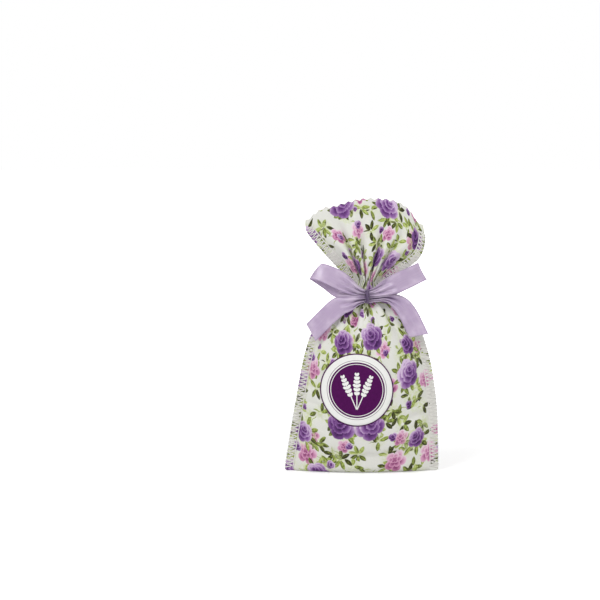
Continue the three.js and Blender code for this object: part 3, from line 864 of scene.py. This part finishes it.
def lavender_spray(across, up, lean):
    """Share of pale ink of one lavender stalk that leans by an angle from the foot of the label."""
    foot = -11.0
    raised = up - foot
    x = across * math.cos(lean) - raised * math.sin(lean)
    z = across * math.sin(lean) + raised * math.cos(lean)
    stalk = x.size().above(0.34, 0.2) * z.above(0.2, 0.8) * z.above(19.5, 18.5)
    pitch = 2.1
    row = (z / pitch).math("FLOOR")
    local = (z / pitch - row - 0.3) * pitch
    taper = (row - 6.0).size() * -0.3 + 2.0
    lobe_x = (x.size() - taper * 0.5) / (taper * 0.62)
    lobe_z = (local - x.size() * 0.35) / 0.95
    buds = (lobe_x * lobe_x + lobe_z * lobe_z).above(1.0, 0.8)
    shown = row.above(3.4, 3.6) * row.above(9.6, 9.4)
    return stalk.math("MAXIMUM", buds * shown)


def label_finish():
    """Pale paper with a plum rim, ring and disc, and three pale stalks on the disc."""
    finish, tree, shader = new_finish("label_paper", {"Roughness": 0.55, "Specular IOR Level": 0.12})
    place = object_place(tree)
    across, _, up = parts_of(place)
    across = across - LABEL_MIDDLE[0]
    up = up - LABEL_MIDDLE[1]
    radius = (across * across + up * up).math("SQRT")
    rim = radius.above(RIM_RADIUS, RIM_RADIUS + INK_EDGE)
    disc = radius.above(DISC_RADIUS + INK_EDGE, DISC_RADIUS)
    ring_line = (radius - RING_LINE_RADIUS).size().above(0.2, 0.1)
    ink = (radius - DISC_LINE_RADIUS).size().above(0.24, 0.14)
    for lean in (0.0, 0.4, -0.4):
        ink = ink.math("MAXIMUM", lavender_spray(across, up, lean))
    grain = noise(place, 1.2, 4, "3D")
    paper = mixed(grain, srgb(229, 230, 226), srgb(241, 241, 238))
    plum = mixed(grain, srgb(66, 2, 68), srgb(86, 10, 88))
    printed = mixed(rim.math("MAXIMUM", ring_line * 0.75), paper, plum)
    printed = mixed(disc, printed, plum)
    printed = mixed(ink * disc, printed, paper)
    join(shader.inputs["Base Color"], printed)
    relief(shader, grain, 0.03)
    return finish


printed_cotton = cotton_finish("printed_cotton", 0)
cotton_reverse = cotton_finish("cotton_reverse", FADE)
lilac_satin = satin_finish()
overlock_thread = thread_finish()

# Bag cloth
grid = bag_points()
bag = flat_piece("bag_cloth", grid, CLOTH_WIDTH, CLOTH_LENGTH)
turn_faces(bag, (0, 1, 0))
swell_pouch(bag, grid.shape[:2])
press_lumps(bag, grid.shape[:2])
bag.data.materials.append(printed_cotton)
bag.data.materials.append(cotton_reverse)
final_grid = points_of(bag).reshape(grid.shape) / MM
corners = [vertex.co / MM for vertex in bag.data.vertices]
cloth_skin = BVHTree.FromPolygons(corners, [face.vertices[:] for face in bag.data.polygons])
thicken(bag, CLOTH_THICKNESS, -1, 1)
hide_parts("pouch_cloth", "ruff_cloth")
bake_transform(bag)


def cloth_front(x, z, fallback):
    """Depth of the front of the cloth at a place, seen from the front."""
    hit = cloth_skin.ray_cast(Vector((x, -60, z)), Vector((0, 1, 0)), 60)
    return hit[0].y if hit[0] is not None else fallback


def on_cloth(side, across, along, lift):
    """Point on the outside of a panel, by place on the flat cut, lifted off it."""
    rows, columns = final_grid.shape[:2]
    row = (rows - 1) / 2 - side * along / PANEL_LENGTH * (rows - 1) / 2
    column = across / CLOTH_WIDTH * (columns - 1)
    i = int(np.clip(math.floor(row), 0, rows - 2))
    j = int(np.clip(math.floor(column), 0, columns - 2))
    r = row - i
    c = column - j
    low = final_grid[i, j] * (1 - c) + final_grid[i, j + 1] * c
    high = final_grid[i + 1, j] * (1 - c) + final_grid[i + 1, j + 1] * c
    point = low * (1 - r) + high * r
    return point + np.array([0, side * lift, 0])


# Overlocking threads: a looper laps over the edge, and a needle thread runs along the seam on each face
def thread_piece(name, paths):
    """Round threads along paths, as one mesh."""
    curve = bpy.data.curves.new(name, "CURVE")
    curve.dimensions = "3D"
    curve.bevel_depth = THREAD_THICKNESS / 2 * MM
    curve.bevel_resolution = 1
    curve.use_fill_caps = True
    for path in paths:
        spline = curve.splines.new("POLY")
        spline.points.add(len(path) - 1)
        for point, place in zip(spline.points, path):
            point.co = (*(place * MM), 1)
    thread = bpy.data.objects.new(name, curve)
    bpy.context.collection.objects.link(thread)
    select_only(thread)
    bpy.ops.object.convert(target="MESH")
    bpy.ops.object.shade_smooth()
    thread = bpy.context.object
    thread.data.materials.append(overlock_thread)
    return thread


def looper_path(way, start, end):
    """Zigzag over the cloth's edge: in on the front, back out and round the edge, and the same behind."""
    edge = 0.0 if way < 0 else CLOTH_WIDTH
    lift = THREAD_THICKNESS * 0.42
    passes = ((0.0, 0.0), (0.33, 0.18), (0.66, 0.36), (0.84, 0.5), (0.66, 0.64), (0.33, 0.82))
    path = []
    for stitch in range(int((end - start) / STITCH_PITCH)):
        for side in (-1, 1):
            place = start + STITCH_PITCH * (stitch + (0.0 if side < 0 else 0.5))
            for reach, run in passes:
                across = edge - way * SEAM_ALLOWANCE * reach
                point = on_cloth(side, across, place + STITCH_PITCH * run, lift)
                if reach == 0:
                    point[0] += way * THREAD_THICKNESS * 0.35
                path.append(point)
    return path


def needle_path(way, side, start, end):
    """Running stitches along the seam: up over the cloth and down into it."""
    edge = 0.0 if way < 0 else CLOTH_WIDTH
    across = edge - way * SEAM_ALLOWANCE * 0.9
    path = []
    for stitch in range(int((end - start) / STITCH_PITCH)):
        for run, lift in ((0.0, -0.15), (0.25, 0.3), (0.75, 0.3)):
            along = start + STITCH_PITCH * (stitch + run)
            path.append(on_cloth(side, across, along, THREAD_THICKNESS * lift))
    return path


for side_name, way in (("left", -1), ("right", 1)):
    for stretch, reach, body in (("seam", SEAM_STITCHES, "pouch"), ("ruff", RUFF_STITCHES, "ruff")):
        paths = [looper_path(way, *reach), needle_path(way, -1, *reach), needle_path(way, 1, *reach)]
        thread = thread_piece(f"{side_name}_{stretch}_overlock", paths)
        rigid(thread, f"{side_name}_{stretch}_thread", body)


# Satin bow: the wrap round the neck and the knot in front of it
WRAP_LENGTH = 50.0
WRAP_HALF_HEIGHT = 3.3
WRAP_BULGE = 1.1
WRAP_RADIUS_X = 7.0
WRAP_RADIUS_Y = 6.85
KNOT_HALF_WIDTH = 0.95
KNOT_HALF_HEIGHT = 3.3
KNOT_HALF_DEPTH = 1.5
KNOT_BULGE = 0.6


def ring_of_ribbon(name, rings):
    """A doubled band of satin from rows of points round a closed ring."""
    band = flat_piece(name, rings, RIBBON_WIDTH, WRAP_LENGTH)
    with edit_mode(band):
        bpy.ops.mesh.remove_doubles(threshold=0.02 * MM)
        bpy.ops.mesh.normals_make_consistent(inside=False)
    band.data.materials.append(lilac_satin)
    thicken(band, DOUBLED_THICKNESS, -1)
    return band


def neck_wrap():
    """Creased band round the neck, which starts and ends behind the knot."""
    turn = np.linspace(-math.pi / 2, 3 * math.pi / 2, 121)[:, None]
    share = np.linspace(-1, 1, 25)[None]
    drift = 1.7 * np.sin(turn + 0.4) + 0.8 * np.sin(3 * turn)
    creases = 0.26 * np.sin(7.2 * share + drift) * (1 - share ** 4) * (1 + 0.5 * np.sin(2 * turn + 1))
    bulge = WRAP_BULGE * (1 - share ** 4)
    radius_x = WRAP_RADIUS_X + bulge + creases
    radius_y = WRAP_RADIUS_Y + bulge + creases
    height = NECK_HEIGHT + WRAP_HALF_HEIGHT * share + 0.35 * np.sin(turn * 2 + 0.6)
    points = np.stack(np.broadcast_arrays(
        NECK_MIDDLE + radius_x * np.cos(turn), radius_y * np.sin(turn), height), axis=2)
    return ring_of_ribbon("neck_ribbon", points)


def bow_knot():
    """Narrow creased band from top to bottom round the roots of the loops and tails."""
    turn = np.linspace(0, FULL_TURN, 97)[:, None]
    share = np.linspace(-1, 1, 21)[None]
    waist = KNOT_HALF_WIDTH + 0.65 * np.sin(turn) ** 2
    crease = 0.42 * np.sin(6.4 * share + 0.9 * np.sin(turn) + 0.7) * (1 - share ** 4)
    bulge = KNOT_BULGE * (1 - share ** 2)
    mouth = 1 - 0.55 * share ** 6
    radius_y = (KNOT_HALF_DEPTH + bulge + crease) * mouth
    radius_z = KNOT_HALF_HEIGHT + bulge + crease * 0.6 - 0.5 * share ** 6
    points = np.stack(np.broadcast_arrays(
        KNOT[0] + share * waist + 0.25 * np.cos(turn),
        KNOT[1] - 0.1 - radius_y * np.cos(turn),
        KNOT[2] + 0.4 + radius_z * np.sin(turn)), axis=2)
    return ring_of_ribbon("ribbon_knot", points)


rigid(neck_wrap(), "neck_ribbon_wrap", "pouch")
rigid(bow_knot(), "bow_knot", "pouch")

# Loops and tails: centre of the ribbon, direction of its width, and its width
LEFT_LOOP = [
    (2.0, -10.4, 99.4, 0.1, 0.1, 1.0, 3.2),
    (-1.5, -10.8, 100.3, 0.2, 0.05, 1.0, 4.6),
    (-6.5, -12.1, 103.0, 0.38, 0.1, 1.0, 8.0),
    (-13.0, -13.5, 106.8, 0.46, 0.28, 0.9, 10.4),
    (-20.0, -13.8, 110.2, 0.52, 0.32, 0.85, 10.4),
    (-24.8, -12.4, 111.4, 0.58, 0.15, 0.82, 10.4),
    (-25.9, -10.9, 111.2, 0.6, 0.0, 0.8, 10.4),
    (-24.6, -9.7, 110.4, 0.6, -0.02, 0.8, 10.4),
    (-18.3, -9.3, 106.0, 0.58, 0.0, 0.82, 10.4),
    (-11.7, -9.4, 101.3, 0.54, 0.0, 0.84, 10.4),
    (-7.0, -9.8, 100.4, 0.36, 0.0, 0.93, 7.6),
    (-2.0, -10.0, 98.9, 0.2, 0.0, 1.0, 4.2),
    (2.0, -10.0, 98.4, 0.1, 0.0, 1.0, 3.0),
]
RIGHT_LOOP = [
    (3.2, -10.4, 99.2, -0.1, 0.1, 1.0, 3.2),
    (6.6, -10.8, 99.8, -0.2, 0.0, 1.0, 4.6),
    (11.6, -12.0, 101.9, -0.38, 0.0, 1.0, 8.0),
    (18.0, -13.0, 104.6, -0.47, 0.05, 1.0, 10.4),
    (26.0, -12.6, 108.3, -0.5, 0.05, 1.0, 10.4),
    (31.4, -11.6, 110.8, -0.52, 0.0, 1.0, 10.4),
    (32.5, -10.7, 111.2, -0.52, 0.0, 1.0, 10.4),
    (31.3, -9.9, 110.6, -0.52, 0.0, 1.0, 10.4),
    (24.0, -9.6, 106.8, -0.5, 0.0, 1.0, 10.4),
    (14.0, -9.6, 101.8, -0.4, 0.0, 1.0, 9.0),
    (7.4, -10.0, 99.8, -0.25, 0.0, 1.0, 5.0),
    (3.2, -10.0, 98.8, -0.1, 0.0, 1.0, 3.0),
]
LEFT_TAIL = [
    (2.0, -10.2, 95.8, 0.05, 0.0, 1.0, 3.0),
    (-2.0, -10.4, 95.2, -0.1, 0.0, 1.0, 4.6),
    (-6.2, -10.8, 94.0, -0.36, 0.1, 0.92, 7.4),
    (-9.6, -10.8, 93.2, -0.52, 0.12, 0.84, 9.4),
    (-12.8, -10.5, 92.1, -0.6, 0.12, 0.8, 10.4),
    (-18.6, -9.2, 87.0, -0.7, 0.05, 0.71, 10.4),
    (-23.6, -7.8, 81.8, -0.72, 0.0, 0.69, 10.4),
    (-28.0, -6.9, 77.3, -0.7, -0.08, 0.71, 10.4),
]
RIGHT_TAIL = [
    (3.2, -10.2, 95.6, 0.0, 0.0, 1.0, 3.0),
    (8.0, -10.2, 96.0, 0.02, 0.0, 1.0, 3.2),
    (13.0, -10.2, 96.4, 0.1, 0.05, 1.0, 3.9),
    (17.6, -10.2, 95.1, 0.42, 0.12, 0.92, 7.4),
    (21.6, -9.8, 92.4, 0.76, 0.12, 0.66, 9.4),
    (25.4, -8.8, 87.0, 0.9, 0.0, 0.45, 10.2),
    (28.6, -7.6, 80.6, 0.92, -0.05, 0.4, 10.4),
    (31.0, -6.9, 75.6, 0.92, -0.05, 0.4, 10.4),
]


def hang_ribbon(name, cad_node, stops, steps, pleats, shift, cut, curl):
    """A loop or tail that bends between two places, across and up, on its way out of the knot."""
    strip, length = satin_strip(name, stops, steps, pleats, shift, cut, curl, cloth_front)
    strip.data.materials.append(lilac_satin)
    thicken(strip, RIBBON_THICKNESS, 0)
    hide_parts(cad_node)
    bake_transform(strip)


hang_ribbon("left_loop", "left_bow_loop", LEFT_LOOP, steps=120, pleats=2, shift=0.4,
            cut=0, curl=0.5)
hang_ribbon("right_loop", "right_bow_loop", RIGHT_LOOP, steps=120, pleats=2, shift=1.1,
            cut=0, curl=0.4)
hang_ribbon("left_tail", "left_ribbon_tail", LEFT_TAIL, steps=64, pleats=2, shift=0.9,
            cut=-3.0, curl=-0.4)
hang_ribbon("right_tail", "right_ribbon_tail", RIGHT_TAIL, steps=64, pleats=3, shift=2.0,
            cut=2.4, curl=-0.4)


# Round label: a paper disc of rings, laid on the front of the pouch
def round_label():
    deselect()
    bpy.ops.mesh.primitive_circle_add(vertices=72, radius=LABEL_RADIUS * MM, fill_type="NGON",
                                      location=(LABEL_MIDDLE[0] * MM, 0, LABEL_MIDDLE[1] * MM),
                                      rotation=(math.pi / 2, 0, 0))
    label = bpy.context.object
    label.name = "paper_label"
    label.data.name = "paper_label"
    bpy.ops.object.transform_apply(location=True, rotation=True, scale=True)
    with edit_mode(label):
        for _ in range(LABEL_RINGS - 1):
            bpy.ops.mesh.inset(thickness=LABEL_RADIUS / LABEL_RINGS * MM)
        bpy.ops.mesh.poke()
    under = [cloth_front(v.co.x / MM, v.co.z / MM, -10) for v in label.data.vertices]
    for vertex, depth in zip(label.data.vertices, under):
        vertex.co.y = (depth - 0.1) * MM
    bpy.ops.object.shade_smooth()
    smooth = label.modifiers.new("smooth", "SMOOTH")
    smooth.factor = 0.5
    smooth.iterations = 6
    smooth.use_x = False
    smooth.use_z = False
    apply_modifier(label, smooth)
    return label


label = round_label()
turn_faces(label, (0, -1, 0))
label.data.materials.append(label_finish())
thicken(label, LABEL_THICKNESS, 1)
rigid(label, "round_label", "pouch")


# Dried buds inside: a heap with loose buds over its surface
LOOSE_BUDS = 360
BUD_RADIUS = 1.1
BUD_STRETCH = 1.75
HEAP_FOOT = 1.6
HEAP_TOP = 76.5


def heap_rings():
    """Rings of points round the heap, inside the pouch from its foot to its top."""
    turn = np.linspace(0, FULL_TURN, 73)[:-1]
    rings = []
    for height in np.linspace(HEAP_FOOT, HEAP_TOP, 40):
        inset = 3.2 + 4.5 * step(height, 66, 77) + 2.5 * (1 - step(height, 1, 8))
        wide = max(float(half_width(height)) - SEAM_ALLOWANCE - inset * 1.6, 2)
        deep = max(float(half_depth(height)) - drawn_in(height, BASE_EDGE_RADIUS) - inset, 1.5)
        x = float(sway(height)) + wide * np.cos(turn)
        y = deep * np.sin(turn) * np.abs(np.sin(turn)) ** 0.5
        rings.append(np.column_stack([x, y, np.full_like(x, height)]))
    return np.stack(rings)


def dried_bud():
    """One bud: a slim cup, full below the middle and pinched to its mouth."""
    deselect()
    bpy.ops.mesh.primitive_uv_sphere_add(segments=6, ring_count=5, radius=BUD_RADIUS * MM)
    bud = bpy.context.object
    for vertex in bud.data.vertices:
        slim = 0.62 - 0.16 * vertex.co.z / (BUD_RADIUS * MM)
        vertex.co.x *= slim
        vertex.co.y *= slim
        vertex.co.z *= BUD_STRETCH
    return bud


def lavender_heap():
    rings = heap_rings()
    rows, columns = rings.shape[:2]
    closed = np.concatenate([rings, rings[:, :1]], axis=1)
    heap = flat_piece("lavender_heap", closed, 150.0, 80.0)
    with edit_mode(heap):
        bpy.ops.mesh.remove_doubles(threshold=0.05 * MM)
        bpy.ops.mesh.select_all(action="DESELECT")
        bpy.ops.mesh.select_mode(type="EDGE")
        bpy.ops.mesh.select_non_manifold()
        bpy.ops.mesh.edge_face_add()
        bpy.ops.mesh.select_all(action="SELECT")
        bpy.ops.mesh.normals_make_consistent(inside=False)
    luck = np.random.RandomState(5)
    first = dried_bud()
    buds = [first]
    while len(buds) < LOOSE_BUDS:
        select_only(first)
        bpy.ops.object.duplicate()
        buds.append(bpy.context.object)
    deselect()
    for bud in buds:
        i = luck.randint(1, rows - 1)
        j = luck.randint(0, columns)
        bud.scale = (1, 1, luck.uniform(0.85, 1.2))
        bud.rotation_euler = luck.uniform(0, math.pi, 3)
        bud.location = rings[i, j] * MM * (0.985, 0.94, 1.0)
        bud.select_set(True)
    bpy.ops.object.transform_apply(location=True, rotation=True, scale=True)
    heap.select_set(True)
    bpy.context.view_layer.objects.active = heap
    bpy.ops.object.join()
    heap.data.materials.append(buds_finish())
    return heap


rigid(lavender_heap(), "lavender_filling", "pouch")

# Floor, light and camera, in metres
FLOOR_REACH = 6.0
FLOOR_DROP = 0.0002
LIT_PLACE = (0, 0, 0.08)
LAMPS = (
    ("key", (-0.7, -1.0, 1.1), 0.7, 9.5),
    ("rear", (0.5, 1.3, 0.9), 1.0, 5.0),
    ("fill", (0.9, -1.0, 0.6), 0.9, 3.0),
)
ROOM_LIGHT = 0.62
VIEW_MIDDLE = (-0.034, 0, 0.0946)
VIEW_WIDTH = 0.33
VIEW_DISTANCE = 1.2
VIEW_RISE = math.radians(5)
SENSOR_WIDTH = 36


def white_floor():
    """Pale floor that takes the shadow and rises to white away from the sachet."""
    deselect()
    bpy.ops.mesh.primitive_circle_add(vertices=96, radius=FLOOR_REACH, fill_type="NGON",
                                      location=(0, 0, -FLOOR_DROP))
    floor = bpy.context.object
    floor.name = "floor"
    finish, tree, shader = new_finish("white_floor", {
        "Roughness": 0.9, "Base Color": (0.8, 0.8, 0.8, 1), "Specular IOR Level": 0.0,
        "Emission Color": (1, 1, 1, 1)})
    ray = new_node(tree, "LightPath", {})
    across, along, _ = parts_of(object_place(tree))
    away = (across * across + along * along).math("SQRT").above(90.0, 420.0)
    seen = Wire(ray.outputs["Is Camera Ray"]) * (away * 0.64 + 0.36)
    join(shader.inputs["Emission Strength"], seen)
    floor.data.materials.append(finish)


def aimed(name, data, place, aim):
    """Puts a lamp or a camera at a place, turned towards another."""
    holder = bpy.data.objects.new(name, data)
    holder.location = place
    holder.rotation_euler = (Vector(aim) - Vector(place)).to_track_quat("-Z", "Y").to_euler()
    bpy.context.collection.objects.link(holder)
    return holder


def studio():
    white_floor()
    for name, place, size, power in LAMPS:
        lamp = bpy.data.lights.new(name, "AREA")
        lamp.shape = "DISK"
        lamp.size = size
        lamp.energy = power
        aimed(name, lamp, place, LIT_PLACE)
    world = bpy.data.worlds.new("studio")
    bpy.context.scene.world = world
    world.use_nodes = True
    tree = world.node_tree
    seen = Wire(new_node(tree, "LightPath", {}).outputs["Is Camera Ray"])
    strength = new_node(tree, "MapRange", {"Value": seen, "To Min": ROOM_LIGHT, "To Max": 1.0})
    back = tree.nodes["Background"].inputs
    join(back["Strength"], Wire(strength.outputs[0]))
    join(back["Color"], (1, 1, 1, 1))
    bpy.context.scene.view_settings.view_transform = "Standard"


def photo_camera():
    """Camera a little above the level of the sachet, far enough off for little perspective."""
    camera = bpy.data.cameras.new("camera")
    camera.sensor_width = SENSOR_WIDTH
    camera.lens = SENSOR_WIDTH * VIEW_DISTANCE / VIEW_WIDTH
    back = Vector((0, -VIEW_DISTANCE * math.cos(VIEW_RISE), VIEW_DISTANCE * math.sin(VIEW_RISE)))
    place = Vector(VIEW_MIDDLE) + back
    bpy.context.scene.camera = aimed("camera", camera, place, VIEW_MIDDLE)


studio()
photo_camera()
